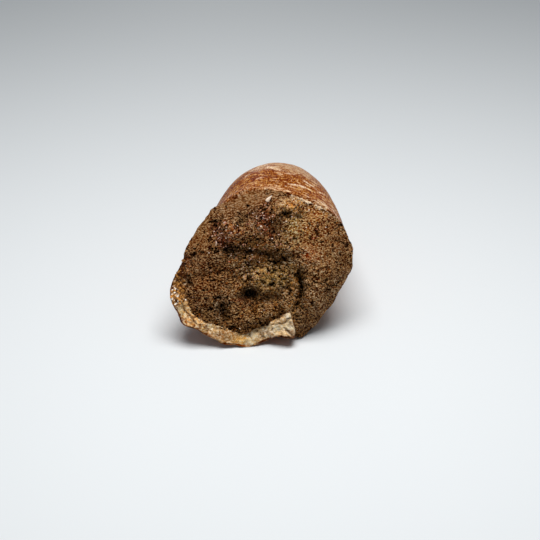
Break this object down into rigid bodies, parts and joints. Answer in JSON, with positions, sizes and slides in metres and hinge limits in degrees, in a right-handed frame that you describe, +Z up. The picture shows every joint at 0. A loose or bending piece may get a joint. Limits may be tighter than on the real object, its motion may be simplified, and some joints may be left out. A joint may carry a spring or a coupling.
{
  "type": "fossil dinosaur tooth",
  "caption": "Fossil theropod tooth crown lying on its side, its hollow broken base plugged and capped with brown sandstone, for display or set dressing.",
  "frame": {"origin": "on the surface the tooth rests on, under the middle of its bounding box", "axes": "+Z up; +Y from the broken base towards the tip; +X to the right of someone facing the break"},
  "size_m": [0.0295, 0.0452, 0.0227],
  "materials": {
    "enamel": "satin orange-brown fossil enamel, with cream dentine where the wall is broken",
    "sandstone": "rough granular brown sandstone with darker iron stain"
  },
  "bodies": {
    "root": {"tooth_crown": "enamel", "sandstone_matrix": "sandstone"}
  },
  "joints": []
}
